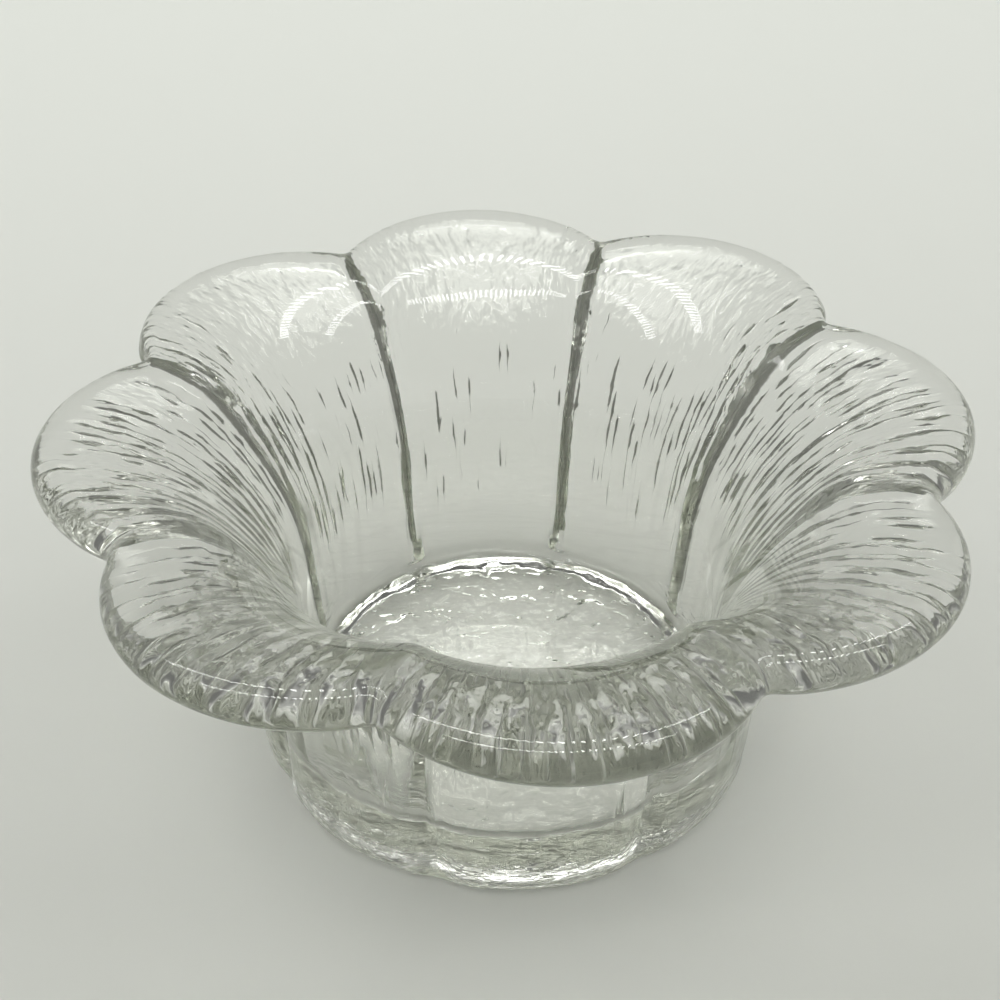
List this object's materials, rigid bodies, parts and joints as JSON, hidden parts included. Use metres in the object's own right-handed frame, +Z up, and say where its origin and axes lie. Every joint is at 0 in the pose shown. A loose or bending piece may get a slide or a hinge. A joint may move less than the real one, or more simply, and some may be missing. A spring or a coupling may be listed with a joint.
{
  "type": "flower bowl",
  "caption": "Flower-shaped bowl of thick clear pressed glass: a round well on a solid base, with a wall that flares into rounded petals, for floating candles.",
  "frame": {"origin": "centre of the underside, on the surface the bowl stands on", "axes": "+Z up along the axis of the flower, -Y towards the petal that is nearest the viewer in the picture"},
  "size_m": [0.18, 0.18, 0.078],
  "materials": {
    "clear_glass": "clear, smooth inside, pressed bark-like streaks outside"
  },
  "bodies": {
    "root": {"glass_bowl": "clear_glass"}
  },
  "joints": []
}
